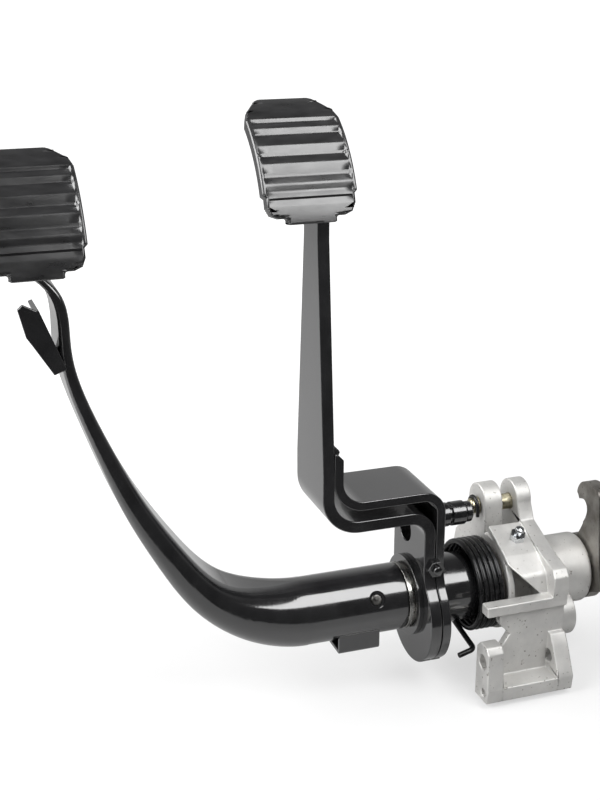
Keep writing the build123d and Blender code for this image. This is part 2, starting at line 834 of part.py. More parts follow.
# Wire clip round the pin
clip_radius = ear_pin_radius + clip_wire
with BuildPart() as pin_clip:
    with BuildLine() as clip_path:
        clip_bow = ThreePointArc(
            (clip_x, ear_pin_y + clip_radius, ear_pin_z),
            (clip_x, ear_pin_y, ear_pin_z + clip_radius),
            (clip_x, ear_pin_y - clip_radius, ear_pin_z),
        )
        Line((clip_x, ear_pin_y + clip_radius, ear_pin_z - clip_tail), clip_bow @ 0)
        Line(clip_bow @ 1, (clip_x, ear_pin_y - clip_radius, ear_pin_z - clip_tail))
    with BuildSketch(Plane.XY.offset(ear_pin_z - clip_tail)):
        with Locations((clip_x, ear_pin_y + clip_radius)):
            Circle(clip_wire)
    sweep()

# Torsion spring: front leg, coils, then a rear leg that rests on the brake lever
rest_y = bar_width / 2 + wire_radius + spring_rest_gap
with BuildPart() as return_spring:
    with BuildLine() as wire_path:
        upright_coil = Helix(
            coil_pitch,
            spring_turns * coil_pitch,
            coil_radius,
            center=(spring_left_x, 0, 0),
            direction=(1, 0, 0),
            mode=Mode.PRIVATE,
        )
        coil = upright_coil.rotate(Axis.X, spring_start - 90)
        add(coil)
        front_knee = coil @ 0 - coil % 0 * spring_leg_front
        rear_knee = coil @ 1 + coil % 1 * spring_leg_back
        front_leg = FilletPolyline(
            (front_knee.X - spring_hook_reach, front_knee.Y - wire_radius, front_knee.Z - wire_radius),
            front_knee,
            coil @ 0,
            radius=spring_bend,
        )
        FilletPolyline(
            coil @ 1,
            rear_knee,
            (brace_right_x + 4 * spring_bend, rear_knee.Y - wire_radius, rear_knee.Z),
            (brace_right_x + wire_radius, rest_y, rear_knee.Z),
            (arm_face_x, rest_y, rear_knee.Z),
            radius=spring_bend,
        )
    with BuildSketch(Plane(origin=front_leg @ 0, z_dir=front_leg % 0)):
        Circle(wire_radius)
    sweep(transition=Transition.ROUND)

# Forged cable hook on the end of the shaft
with BuildPart() as cable_hook:
    with BuildSketch(side_plane(hook_x)):
        with BuildLine():
            Polyline(*hook_front)
            Spline(
                hook_front[-1],
                *hook_crown,
                tangents=((0.1, 1), (-0.6, -1)),
            )
            Spline(hook_crown[-1], *hook_throat, tangents=((-1, 0.4), (0.6, -1)))
            Line(hook_throat[-1], (hook_root_y, 0))
            Line((hook_root_y, 0), hook_front[0])
        make_face()
        Circle(hook_hub_radius)
    extrude(amount=hook_thickness)
    with BuildSketch(side_plane(hook_x)):
        Circle(shaft_radius + hook_hub_wall)
    extrude(amount=hook_hub_width)
    with BuildSketch(side_plane(hook_x)):
        Circle(shaft_radius)
    extrude(amount=hook_hub_width, mode=Mode.SUBTRACT)

with BuildPart() as hook_washer:
    with BuildSketch(side_plane(boss_end_x + side_play)):
        Circle(hook_washer_radius)
        Circle(shaft_radius + running_fit, mode=Mode.SUBTRACT)
    extrude(amount=hook_gap)

pieces = {
    "brake_arm": brake_arm,
    "brake_brace": brake_brace,
    "brake_hub": brake_hub,
    "brake_bush_left": brake_bush_left,
    "brake_bush_right": brake_bush_right,
    "pushrod_pin": pushrod_pin,
    "brake_grease_nipple": brake_grease_nipple,
    "brake_pad_plate": brake_pad_plate,
    "brake_pad_rubber": brake_pad_rubber,
    "clutch_arm": clutch_arm,
    "clutch_pad_plate": clutch_pad_plate,
    "clutch_pad_rubber": clutch_pad_rubber,
    "clutch_shaft": clutch_shaft,
    "cross_pin": cross_pin,
    "stop_tag": stop_tag,
    "stop_channel": stop_channel,
    "thrust_washer": thrust_washer,
    "cable_hook": cable_hook,
    "hook_washer": hook_washer,
    "mounting_casting": mounting_casting,
    "casting_bush_left": casting_bush_left,
    "casting_bush_right": casting_bush_right,
    "web_grease_nipple": web_grease_nipple,
    "accelerator_pin": accelerator_pin,
    "pin_clip": pin_clip,
    "return_spring": return_spring,
}
for piece_name, piece in pieces.items():
    piece.part.label = piece_name
    export_step(piece.part, f"parts/{piece_name}.step")
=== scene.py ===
import logging
import math
from dataclasses import dataclass
from enum import Enum

import bmesh
import bpy
from mathutils import Matrix, Vector


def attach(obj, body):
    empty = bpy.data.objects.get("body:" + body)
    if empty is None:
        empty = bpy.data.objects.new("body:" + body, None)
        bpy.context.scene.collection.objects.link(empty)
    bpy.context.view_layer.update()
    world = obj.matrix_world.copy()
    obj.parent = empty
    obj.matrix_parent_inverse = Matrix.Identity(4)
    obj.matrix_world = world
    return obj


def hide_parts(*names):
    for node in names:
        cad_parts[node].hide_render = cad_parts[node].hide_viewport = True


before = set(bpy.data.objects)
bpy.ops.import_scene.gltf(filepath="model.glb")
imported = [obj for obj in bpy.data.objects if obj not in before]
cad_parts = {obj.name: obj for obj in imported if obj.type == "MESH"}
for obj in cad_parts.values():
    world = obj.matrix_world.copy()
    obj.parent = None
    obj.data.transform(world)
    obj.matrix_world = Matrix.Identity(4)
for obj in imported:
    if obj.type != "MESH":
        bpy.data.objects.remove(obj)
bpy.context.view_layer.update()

MM = 0.001
LOG = logging.getLogger("pedals")
WHITE = (1, 1, 1, 1)
PATCH_DETAIL, PATCH_ROUGHNESS = 6.0, 0.6
PATCH_LOW, PATCH_HIGH = 0.34, 0.66
GRAIN_DETAIL = 3.0
SPECK_DETAIL = 2.0
ROUGH_FROM, ROUGH_TO = 0.3, 0.7
SPECK_EDGE = 0.06


class Body(Enum):
    """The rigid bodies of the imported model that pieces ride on."""

    BRACKET = "bracket"
    BRAKE = "brake_pedal"
    CLUTCH = "clutch_pedal"


def linear(hex_colour: str) -> tuple:
    """Turn an sRGB hex colour into linear RGBA.

    Args:
        hex_colour: six hex digits, such as "1a1a1c".

    Returns:
        Linear red, green, blue and an alpha of one.
    """
    parts = [int(hex_colour[i:i + 2], 16) / 255 for i in (0, 2, 4)]
    turned = [c / 12.92 if c <= 0.04045 else ((c + 0.055) / 1.055) ** 2.4 for c in parts]
    return (*turned, 1.0)


def add_node(
    tree: bpy.types.NodeTree, kind: str, settings: dict | None = None, links: dict | None = None
) -> bpy.types.Node:
    """Add one node to a tree with its settings and its links.

    Args:
        tree: the node tree that takes the node.
        kind: Blender's type name of the node.
        settings: attribute names, or input names after "in:", with their values.
        links: input names with the output sockets that feed them.

    Returns:
        The new node.
    """
    made = tree.nodes.new(kind)
    for key, value in (settings or {}).items():
        if key.startswith("in:"):
            made.inputs[key[3:]].default_value = value
        else:
            setattr(made, key, value)
    for key, socket in (links or {}).items():
        tree.links.new(socket, made.inputs[key])
    return made


@dataclass(frozen=True)
class Finish:
    """A metal, paint or rubber finish drawn with noise on Object coordinates.

    The fine grain is a bump; the broad pattern shifts colour and roughness. A pixel of the
    render is about 0.6 mm on the part, so a finer grain is drawn about that coarse to show.
    """

    name: str
    slot: str
    dark: str
    light: str
    metallic: float
    rough_low: float
    rough_high: float
    grain_mm: float
    grain_height_mm: float
    patch_mm: float
    coat: float = 0.0
    coat_roughness: float = 0.1
    specular: float = 0.5
    stretch: tuple = (1.0, 1.0, 1.0)
    speck: str = ""
    speck_mm: float = 1.0
    speck_cut: float = 0.7

    def build(self) -> bpy.types.Material:
        """Make the material.

        Returns:
            The Blender material.
        """
        made = bpy.data.materials.new(self.name)
        made.use_nodes = True
        tree = made.node_tree
        tree.nodes.clear()
        place = add_node(tree, "ShaderNodeTexCoord")
        turn = add_node(
            tree,
            "ShaderNodeMapping",
            {"in:Scale": self.stretch},
            {"Vector": place.outputs["Object"]},
        )
        patch = add_node(
            tree,
            "ShaderNodeTexNoise",
            {
                "in:Scale": 1 / (self.patch_mm * MM), "in:Detail": PATCH_DETAIL,
                "in:Roughness": PATCH_ROUGHNESS,
            },
            {"Vector": turn.outputs["Vector"]},
        )
        grain = add_node(
            tree,
            "ShaderNodeTexNoise",
            {"in:Scale": 1 / (self.grain_mm * MM), "in:Detail": GRAIN_DETAIL},
            {"Vector": turn.outputs["Vector"]},
        )
        colour = add_node(tree, "ShaderNodeValToRGB", {}, {"Fac": patch.outputs["Fac"]})
        low, high = colour.color_ramp.elements
        low.position, low.color = PATCH_LOW, linear(self.dark)
        high.position, high.color = PATCH_HIGH, linear(self.light)
        base = colour.outputs["Color"]
        rough = add_node(
            tree,
            "ShaderNodeMapRange",
            {
                "in:From Min": ROUGH_FROM, "in:From Max": ROUGH_TO,
                "in:To Min": self.rough_low, "in:To Max": self.rough_high,
            },
            {"Value": patch.outputs["Fac"]},
        )
        if self.speck:
            specks = add_node(
                tree,
                "ShaderNodeTexNoise",
                {"in:Scale": 1 / (self.speck_mm * MM), "in:Detail": SPECK_DETAIL},
                {"Vector": place.outputs["Object"]},
            )
            cut = add_node(
                tree,
                "ShaderNodeMapRange",
                {"in:From Min": self.speck_cut, "in:From Max": self.speck_cut + SPECK_EDGE},
                {"Value": specks.outputs["Fac"]},
            )
            mixed = add_node(
                tree, "ShaderNodeMix", {"data_type": "RGBA"}, {"Factor": cut.outputs["Result"]}
            )
            tree.links.new(base, mixed.inputs[6])
            mixed.inputs[7].default_value = linear(self.speck)
            base = mixed.outputs[2]
        bump = add_node(
            tree,
            "ShaderNodeBump",
            {"in:Strength": 1.0, "in:Distance": self.grain_height_mm * MM},
            {"Height": grain.outputs["Fac"]},
        )
        shader = add_node(
            tree,
            "ShaderNodeBsdfPrincipled",
            {
                "in:Metallic": self.metallic,
                "in:Specular IOR Level": self.specular,
                "in:Coat Weight": self.coat,
                "in:Coat Roughness": self.coat_roughness,
            },
            {
                "Base Color": base,
                "Roughness": rough.outputs["Result"],
                "Normal": bump.outputs["Normal"],
            },
        )
        add_node(tree, "ShaderNodeOutputMaterial", {}, {"Surface": shader.outputs["BSDF"]})
        return made


# Gloss black enamel over steel: dark grey black with sharp reflections and a faint orange peel
ENAMEL = Finish(
    "gloss_black_enamel", "black_paint", "1c1c1d", "242425", 0.0, 0.10, 0.2, 2.6, 0.012, 14.0,
    coat=0.9, coat_roughness=0.05, specular=0.9,
)
# Moulded rubber: dark grey black, a soft sheen and a fine dusty grain
RUBBER = Finish(
    "moulded_rubber", "black_rubber", "131314", "1e1e1f", 0.0, 0.26, 0.4, 0.6, 0.02, 6.0,
    stretch=(0.35, 1.0, 1.0), specular=1.0, coat=0.4, coat_roughness=0.3,
)
# Bare die cast aluminium: pale, satin, grainy skin with greyer patches
CASTING = Finish(
    "die_cast_aluminium", "cast_aluminium", "c4c3c1", "d6d5d2", 0.6, 0.44, 0.58, 0.9, 0.05, 16.0,
    speck="8f8c86", speck_mm=2.2, speck_cut=0.67,
)
# Forged steel: warm grey, coarse and dull with darker scale
FORGING = Finish(
    "forged_steel", "forged_steel", "7f7b76", "aaa7a2", 1.0, 0.36, 0.5, 1.1, 0.05, 12.0,
    speck="66625d", speck_mm=1.8, speck_cut=0.68,
)
# Turned steel: bright and smooth, with a tight highlight and a slight unevenness
TURNED = Finish(
    "turned_steel", "bright_steel", "a9a8a4", "dddcd8", 1.0, 0.18, 0.3, 0.6, 0.01, 5.0,
)
# Zinc plating: pale metal with a straw tint
ZINC = Finish(
    "zinc_plated_steel", "zinc_steel", "a39b80", "d6d0b8", 1.0, 0.24, 0.38, 0.7, 0.012, 3.0,
)
# Sintered bronze: dull greyish brown, slightly porous
BRONZE = Finish(
    "sintered_bronze", "bush_bronze", "8f8778", "b9b2a2", 1.0, 0.4, 0.55, 0.5, 0.03, 3.0,
)
# Bright zinc plating on the grease nipple: clean silver grey
BRIGHT_ZINC = Finish(
    "bright_zinc", "zinc_steel", "b4b6b8", "cdcfd1", 1.0, 0.18, 0.3, 0.5, 0.012, 3.0,
)
# Tin plated bronze: dull silver with a faint warm cast
TINNED = Finish(
    "tinned_bronze", "bush_bronze", "b4b1aa", "cfccc4", 1.0, 0.22, 0.34, 0.5, 0.012, 4.0,
)
# Oiled spring wire: nearly black with a narrow highlight
WIRE = Finish(
    "oiled_spring_wire", "black_spring_steel", "0c0c0d", "1a1a1b", 0.0, 0.24, 0.36, 0.6, 0.01, 4.0,
)
# Black oxide steel: dark grey, semi gloss on small turned parts
OXIDE = Finish(
    "black_oxide_steel", "black_pin_steel", "101011", "1d1d1e", 0.0, 0.14, 0.26, 0.5, 0.012, 3.0,
    specular=1.0, coat=0.8,
)
# Bare spring steel of the rolled pin: mid grey
ROLLED = Finish(
    "rolled_pin_steel", "black_pin_steel", "5b5a58", "8d8c89", 1.0, 0.25, 0.36, 0.4, 0.01, 2.0,
)


class Finishes:
    """Makes each finish once and hands it out by name."""

    def __init__(self) -> None:
        """Start with no material made."""
        self.made: dict = {}

    def get(self, finish: Finish) -> bpy.types.Material:
        """Hand out a finish's material, made on first use.

        Args:
            finish: the finish.

        Returns:
            Its Blender material.
        """
        if finish.name not in self.made:
            self.made[finish.name] = finish.build()
        return self.made[finish.name]


FINISHES = Finishes()


def wear(piece: bpy.types.Object, body: Body, finish: Finish) -> None:
    """Give a new piece its finish and its body, and report it.

    Args:
        piece: the Blender object.
        body: the body that it rides on.
        finish: its finish.
    """
    piece.data.materials.clear()
    piece.data.materials.append(FINISHES.get(finish))
    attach(piece, body.value)
    LOG.info("%s: %d faces, rides on %s", piece.name, len(piece.data.polygons), body.value)


def to_object(
    shape: bmesh.types.BMesh, name: str, smooth_angle: float = 35.0
) -> bpy.types.Object:
    """Turn a bmesh into an object with smooth shading split at sharp edges.

    Args:
        shape: the bmesh, freed afterwards.
        name: the object's name.
        smooth_angle: degrees past which an edge stays sharp.

    Returns:
        The new object, linked to the scene.
    """
    mesh = bpy.data.meshes.new(name)
    for face in shape.faces:
        face.smooth = True
    shape.to_mesh(mesh)
    shape.free()
    mesh.set_sharp_from_angle(angle=math.radians(smooth_angle))
    made = bpy.data.objects.new(name, mesh)
    bpy.context.scene.collection.objects.link(made)
    return made


def soften(
    piece: bpy.types.Object, width_mm: float, segments: int = 2, angle: float = 32.0
) -> None:
    """Round a piece's sharp edges with a bevel modifier.

    Args:
        piece: the object.
        width_mm: the bevel's width.
        segments: its number of steps.
        angle: degrees past which an edge counts as sharp.
    """
    bevel = piece.modifiers.new("edge_round", "BEVEL")
    bevel.width = width_mm * MM
    bevel.segments = segments
    bevel.limit_method = "ANGLE"
    bevel.angle_limit = math.radians(angle)
    bevel.use_clamp_overlap = False
    bevel.harden_normals = True


def keep_node(node: str, finish: Finish) -> None:
    """Show a CAD node as it is, with a finish.

    Args:
        node: the node's name.
        finish: its finish.
    """
    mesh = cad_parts[node].data
    mesh.materials.clear()
    mesh.materials.append(FINISHES.get(finish))
    LOG.info("%s: kept from the frame", node)


@dataclass
class SoftCopy:
    """A copy of a rigid CAD node with its edges rounded as casting or paint rounds them."""

    node: str
    body: Body
    finish: Finish
    width_mm: float
    segments: int = 2
    flat_angle: float = 0.6
    merge_distance: float = 0.00001

    def build(self) -> None:
        """Copy the node, join its facets, round its edges and put it in the node's place."""
        shape = bmesh.new()
        shape.from_mesh(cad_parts[self.node].data)
        bmesh.ops.remove_doubles(shape, verts=shape.verts, dist=self.merge_distance)
        bmesh.ops.dissolve_limit(
            shape,
            angle_limit=math.radians(self.flat_angle),
            use_dissolve_boundaries=False,
            verts=shape.verts,
            edges=shape.edges,
            delimit=set(),
        )
        piece = to_object(shape, self.node + "_soft")
        soften(piece, self.width_mm, self.segments)
        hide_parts(self.node)
        wear(piece, self.body, self.finish)


@dataclass
class PadCover:
    """Ribbed rubber cover of a pedal pad, bent round the same arc as its steel plate."""

    name: str
    node: str
    body: Body
    middle_x: float
    centre_y: float
    centre_z: float
    top_angle: float = 73.0
    width: float = 52.0
    arc_radius: float = 74.0
    back_radius: float = 67.2
    window_radius: float = 68.0
    low_angle: float = 12.5
    tab_angle: float = 9.8
    fold_angle: float = 57.5
    tab_width: float = 27.0
    corner: float = 6.0
    corner_share: float = 0.3
    notch: float = 1.8
    notch_height: float = 11.0
    bevel: float = 9.6
    shoulder: float = 6.0
    shoulder_bevel: float = 1.6
    rim: float = 2.0
    fade: float = 1.0
    window_margin: float = 8.0
    grid_step: float = 0.55
    middle_cuts: tuple = (0.0, 6.0, 12.0)
    top_corner: tuple = (2.2, 1.5)
    window_drop: float = 2.0
    cut_snap: float = 0.0001
    smooth_angle: float = 50.0
    edge_round: float = 1.3
    round_steps: int = 3
    round_angle: float = 60.0
    # Pairs of lean in degrees and depth in millimetres, with straight slopes between
    steps: tuple = (
        (9.8, 0.0), (17.6, 0.0), (20.0, 0.9), (20.8, 0.0), (23.3, 1.1), (26.2, 0.0), (30.0, 1.7),
        (34.8, 0.0), (39.2, 1.9), (43.2, 0.0), (49.6, 1.6), (52.2, 0.0), (56.4, 1.3), (57.5, 0.0),
        (73.0, 0.0),
    )

    def outline(self) -> list:
        """Front outline, as width and arc length from the lower edge.

        Returns:
            The corners, counterclockwise.
        """
        half = self.width / 2
        ear = half - self.notch
        tab = self.length(self.tab_angle)
        fold = self.length(self.fold_angle)
        top = self.length(self.top_angle)
        right = [
            (self.tab_width / 2, tab),
            (self.tab_width / 2, 0.0),
            (ear - self.corner, 0.0),
            (ear - self.corner * self.corner_share, self.corner * self.corner_share),
            (ear, self.corner),
            (ear, self.notch_height),
            (half, self.notch_height + self.notch),
            (half, fold),
            (half - self.shoulder_bevel, fold + self.shoulder),
            (half - self.bevel, top - self.top_corner[1]),
            (half - self.bevel - self.top_corner[0], top),
        ]
        left = [(-across, along) for across, along in reversed(right)]
        return right + left

    def length(self, angle: float) -> float:
        """Arc length in millimetres from the lower edge to a lean of the face."""
        return math.radians(angle - self.low_angle) * self.arc_radius

    def step_depth(self, along: float) -> float:
        """Depth of the stepped face below the pad's arc.

        Args:
            along: arc length from the lower edge in millimetres.

        Returns:
            The depth in millimetres.
        """
        for (low_angle, low_depth), (high_angle, high_depth) in zip(self.steps, self.steps[1:]):
            low, high = self.length(low_angle), self.length(high_angle)
            if low <= along <= high:
                return low_depth + (high_depth - low_depth) * (along - low) / (high - low)
        return 0.0

    def edge_fade(self, across: float) -> float:
        """Share of the valley depth left beside the pad's flat rim."""
        room = self.width / 2 - abs(across)
        return min(1.0, max(0.0, (room - self.rim) / self.fade))

    def place(self, across: float, along: float, radius: float) -> Vector:
        """Point of the bent pad.

        Args:
            across: distance from the pad's middle in millimetres.
            along: arc length from the lower edge in millimetres.
            radius: distance from the arc's centre in millimetres.

        Returns:
            The point in metres.
        """
        lean = math.radians(self.low_angle) + along / self.arc_radius
        return MM * Vector((
            self.middle_x + across,
            self.centre_y - radius * math.cos(lean),
            self.centre_z + radius * math.sin(lean),
        ))

    def cut(self, shape: bmesh.types.BMesh, point: tuple, normal: tuple) -> None:
        """Cut the flat sheet along one line, keeping both sides.

        Args:
            shape: the bmesh.
            point: a point on the line.
            normal: the direction across it.
        """
        geometry = shape.verts[:] + shape.edges[:] + shape.faces[:]
        bmesh.ops.bisect_plane(
            shape, geom=geometry, dist=self.cut_snap, plane_co=point, plane_no=normal
        )

    def build(self) -> None:
        """Cut the outline into a fine grid, give it a back, then bend and rib it."""
        shape = bmesh.new()
        corners = [shape.verts.new((across, along, 0)) for across, along in self.outline()]
        shape.faces.new(corners)
        low = self.length(self.tab_angle)
        top = self.length(self.top_angle)
        for step in range(1, int((top - low) / self.grid_step)):
            self.cut(shape, (0, low + step * self.grid_step, 0), (0, 1, 0))
        half = self.width / 2
        inner = half - self.window_margin
        rim = half - self.rim
        edge_cuts = (inner, rim - self.fade, rim - self.fade / 2, rim)
        for across in self.middle_cuts + edge_cuts:
            for side in (-1, 1):
                self.cut(shape, (side * across, 0, 0), (1, 0, 0))
        front = set(shape.verts)
        faces = shape.faces[:]
        made = bmesh.ops.extrude_face_region(shape, geom=faces, use_keep_orig=True)["geom"]
        back = [item for item in made if isinstance(item, bmesh.types.BMVert)]
        back_faces = [item for item in made if isinstance(item, bmesh.types.BMFace)]
        for vert in back:
            vert.co.z = self.arc_radius - self.back_radius
        window = [
            face for face in back_faces
            if abs(face.calc_center_median().x) < inner
            and face.calc_center_median().y > self.window_margin
            and face.calc_center_median().y < top - self.window_margin - self.window_drop
        ]
        pocket = bmesh.ops.extrude_face_region(shape, geom=window)["geom"]
        for item in pocket:
            if isinstance(item, bmesh.types.BMVert):
                item.co.z = self.arc_radius - self.window_radius
        bmesh.ops.delete(shape, geom=window, context="FACES")
        for vert in shape.verts:
            across, along, depth = vert.co
            if vert in front:
                depth = self.step_depth(along) * self.edge_fade(across)
            vert.co = self.place(across, along, self.arc_radius - depth)
        bmesh.ops.recalc_face_normals(shape, faces=shape.faces)
        piece = to_object(shape, self.name, self.smooth_angle)
        soften(piece, self.edge_round, self.round_steps, self.round_angle)
        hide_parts(self.node)
        wear(piece, self.body, RUBBER)


@dataclass(frozen=True)
class Lamp:
    """A soft lamp: its place, the point that it faces, its size in metres and its watts."""

    name: str
    place: tuple
    target: tuple
    width: float
    height: float
    power: float

    def hang(self) -> None:
        """Add the lamp and turn it to its target."""
        data = bpy.data.lights.new(self.name, "AREA")
        data.shape = "RECTANGLE"
        data.size = self.width
        data.size_y = self.height
        data.energy = self.power
        made = bpy.data.objects.new(self.name, data)
        made.location = self.place
        facing = Vector(self.target) - Vector(self.place)
        made.rotation_euler = facing.to_track_quat("-Z", "Y").to_euler()
        bpy.context.scene.collection.objects.link(made)


@dataclass
class Studio:
    """Floor, soft lamps, white surround and the camera at the photograph's angle."""

    floor_z: float = -0.0555
    camera_place: tuple = (-0.30219, -0.67414, 0.38284)
    camera_tilt: float = 70.77
    camera_turn: float = -19.08
    focal_px: float = 1333.0
    image_height_px: float = 800.0
    sensor: float = 36.0
    clip_start: float = 0.01
    floor_front: float = -0.2
    floor_reach: float = 5.0
    floor_colour: str = "989898"
    floor_roughness: float = 0.32
    floor_specular: float = 0.3
    glow_depth: tuple = (0.1, 0.9)
    near_glow: float = 0.55
    far_glow: float = 0.97
    mirror_share: float = 0.12
    room_light: float = 0.3
    backdrop_turn: tuple = (-0.35, 0.35)
    backdrop_front: float = 0.03
    backdrop_back: float = 0.42
    ceiling_rise: tuple = (0.45, 0.8)
    ceiling_share: float = 0.2
    # A tall lamp in front and above, and a large square one far out on the left
    lamps: tuple = (
        Lamp("front_softbox", (0.20, -0.36, 0.73), (0.20, 0.6, 0.47), 0.42, 0.77, 6.6),
        Lamp("left_strip", (-1.2, 0.1, 0.9), (-0.05, 0, 0.1), 1.4, 1.4, 46.0),
    )

    def camera(self) -> None:
        """Set the camera where the photograph was taken from."""
        data = bpy.data.cameras.new("photo_camera")
        data.sensor_width = self.sensor
        data.lens = self.focal_px * self.sensor / self.image_height_px
        data.clip_start = self.clip_start
        made = bpy.data.objects.new("photo_camera", data)
        made.location = self.camera_place
        made.rotation_euler = (math.radians(self.camera_tilt), 0, math.radians(self.camera_turn))
        bpy.context.scene.collection.objects.link(made)
        bpy.context.scene.camera = made

    def seen_rays(self, tree: bpy.types.NodeTree, share: float = 1.0) -> bpy.types.NodeSocket:
        """How much camera, glossy and transmission rays see of the white surround.

        Args:
            tree: the node tree that takes the nodes.
            share: what a glossy ray sees of it.

        Returns:
            The output socket, from 0 to 1.
        """
        path = add_node(tree, "ShaderNodeLightPath")
        glossy = add_node(
            tree, "ShaderNodeMapRange", {"in:To Max": share},
            {"Value": path.outputs["Is Glossy Ray"]},
        )
        first = add_node(
            tree, "ShaderNodeMath", {"operation": "MAXIMUM"},
            {0: path.outputs["Is Camera Ray"], 1: glossy.outputs["Result"]},
        )
        second = add_node(
            tree, "ShaderNodeMath", {"operation": "MAXIMUM"},
            {0: first.outputs[0], 1: path.outputs["Is Transmission Ray"]},
        )
        return second.outputs[0]

    def floor(self) -> None:
        """Lay a plain pale floor that keeps the object's shadow."""
        shape = bmesh.new()
        bmesh.ops.create_grid(shape, x_segments=1, y_segments=1, size=self.floor_reach)
        shift = (0, self.floor_front + self.floor_reach, self.floor_z)
        bmesh.ops.translate(shape, verts=shape.verts, vec=shift)
        piece = to_object(shape, "studio_floor")
        made = bpy.data.materials.new("white_floor")
        made.use_nodes = True
        tree = made.node_tree
        tree.nodes.clear()
        matt = add_node(
            tree, "ShaderNodeBsdfPrincipled",
            {
                "in:Base Color": linear(self.floor_colour),
                "in:Roughness": self.floor_roughness,
                "in:Specular IOR Level": self.floor_specular,
            },
        )
        place = add_node(tree, "ShaderNodeTexCoord")
        split = add_node(tree, "ShaderNodeSeparateXYZ", {}, {"Vector": place.outputs["Object"]})
        depth = add_node(
            tree, "ShaderNodeMapRange",
            {
                "in:From Min": self.glow_depth[0], "in:From Max": self.glow_depth[1],
                "in:To Min": self.near_glow, "in:To Max": self.far_glow,
            },
            {"Value": split.outputs["Y"]},
        )
        strength = add_node(
            tree, "ShaderNodeMath", {"operation": "MULTIPLY"},
            {0: self.seen_rays(tree, self.mirror_share), 1: depth.outputs["Result"]},
        )
        glow = add_node(
            tree, "ShaderNodeEmission", {"in:Color": WHITE}, {"Strength": strength.outputs[0]}
        )
        both = add_node(tree, "ShaderNodeAddShader", {}, {0: matt.outputs[0], 1: glow.outputs[0]})
        add_node(tree, "ShaderNodeOutputMaterial", {}, {"Surface": both.outputs[0]})
        piece.data.materials.append(made)

    def surround(self) -> None:
        """Give the world a plain soft light and a white look behind the object."""
        world = bpy.data.worlds.new("studio_world")
        world.use_nodes = True
        bpy.context.scene.world = world
        tree = world.node_tree
        tree.nodes.clear()
        seen = self.seen_rays(tree)
        path = add_node(tree, "ShaderNodeLightPath")
        place = add_node(tree, "ShaderNodeTexCoord")
        split = add_node(tree, "ShaderNodeSeparateXYZ", {}, {"Vector": place.outputs["Generated"]})
        back = add_node(
            tree, "ShaderNodeMapRange",
            {
                "in:From Min": self.backdrop_turn[0], "in:From Max": self.backdrop_turn[1],
                "in:To Min": self.backdrop_front, "in:To Max": self.backdrop_back,
            },
            {"Value": split.outputs["Y"]},
        )
        above = add_node(
            tree, "ShaderNodeMapRange",
            {
                "in:From Min": self.ceiling_rise[0], "in:From Max": self.ceiling_rise[1],
                "in:To Min": 1.0, "in:To Max": self.ceiling_share,
            },
            {"Value": split.outputs["Z"]},
        )
        paper = add_node(
            tree, "ShaderNodeMath", {"operation": "MULTIPLY"},
            {0: back.outputs["Result"], 1: above.outputs["Result"]},
        )
        white = add_node(tree, "ShaderNodeBackground", {"in:Color": WHITE, "in:Strength": 1.0})
        glossy = add_node(
            tree, "ShaderNodeBackground", {"in:Color": WHITE}, {"Strength": paper.outputs[0]}
        )
        room = add_node(
            tree, "ShaderNodeBackground", {"in:Color": WHITE, "in:Strength": self.room_light}
        )
        sight = add_node(
            tree, "ShaderNodeMixShader", {},
            {0: path.outputs["Is Glossy Ray"], 1: white.outputs[0], 2: glossy.outputs[0]},
        )
        mix = add_node(
            tree, "ShaderNodeMixShader", {}, {0: seen, 1: room.outputs[0], 2: sight.outputs[0]}
        )
        add_node(tree, "ShaderNodeOutputWorld", {}, {"Surface": mix.outputs[0]})

    def build(self) -> None:
        """Set up the whole studio."""
        self.camera()
        self.floor()
        self.surround()
        for lamp in self.lamps:
            lamp.hang()
        bpy.context.scene.view_settings.view_transform = "Standard"


@dataclass
class WeldBead:
    """A rippled weld bead laid along a run of points."""

    name: str
    body: Body
    points: tuple
    radius_mm: float
    closed: bool = False
    ripple: float = 0.16
    sides: int = 8
    ripple_mm: float = 1.5
    ripple_steps: int = 3
    end_swell: float = 0.45
    smooth_angle: float = 70.0

    def stations(self) -> list:
        """Points along the run, close enough for the ripples.

        Returns:
            Pairs of point and direction, in millimetres.
        """
        path = [Vector(p) for p in self.points]
        if self.closed:
            path.append(path[0])
        found = []
        for start, end in zip(path, path[1:]):
            count = max(1, round((end - start).length / (self.ripple_mm / self.ripple_steps)))
            for step in range(count):
                found.append((start.lerp(end, step / count), (end - start).normalized()))
        if not self.closed:
            found.append((path[-1], (path[-1] - path[-2]).normalized()))
        return found

    def build(self) -> None:
        """Sweep a ring of points along the run, swelling at each ripple."""
        shape = bmesh.new()
        rings = []
        stations = self.stations()
        for index, (point, direction) in enumerate(stations):
            swell = 1 + self.ripple * math.sin(2 * math.pi * index / self.ripple_steps)
            if not self.closed and index in (0, len(stations) - 1):
                swell = self.end_swell
            ring = bmesh.ops.create_circle(
                shape, segments=self.sides, radius=self.radius_mm * MM * swell
            )["verts"]
            turn = direction.to_track_quat("Z", "Y").to_matrix()
            bmesh.ops.rotate(shape, verts=ring, matrix=turn)
            bmesh.ops.translate(shape, verts=ring, vec=point * MM)
            rings.append(list({edge for vert in ring for edge in vert.link_edges}))
        pairs = list(zip(rings, rings[1:]))
        if self.closed:
            pairs.append((rings[-1], rings[0]))
        for pair in pairs:
            loops = [edge for ring in pair for edge in ring]
            bmesh.ops.bridge_loops(shape, edges=loops)
        if not self.closed:
            ends = rings[0] + rings[-1]
            bmesh.ops.holes_fill(shape, edges=ends, sides=self.sides)
        bmesh.ops.recalc_face_normals(shape, faces=shape.faces)
        piece = to_object(shape, self.name, self.smooth_angle)
        wear(piece, self.body, ENAMEL)


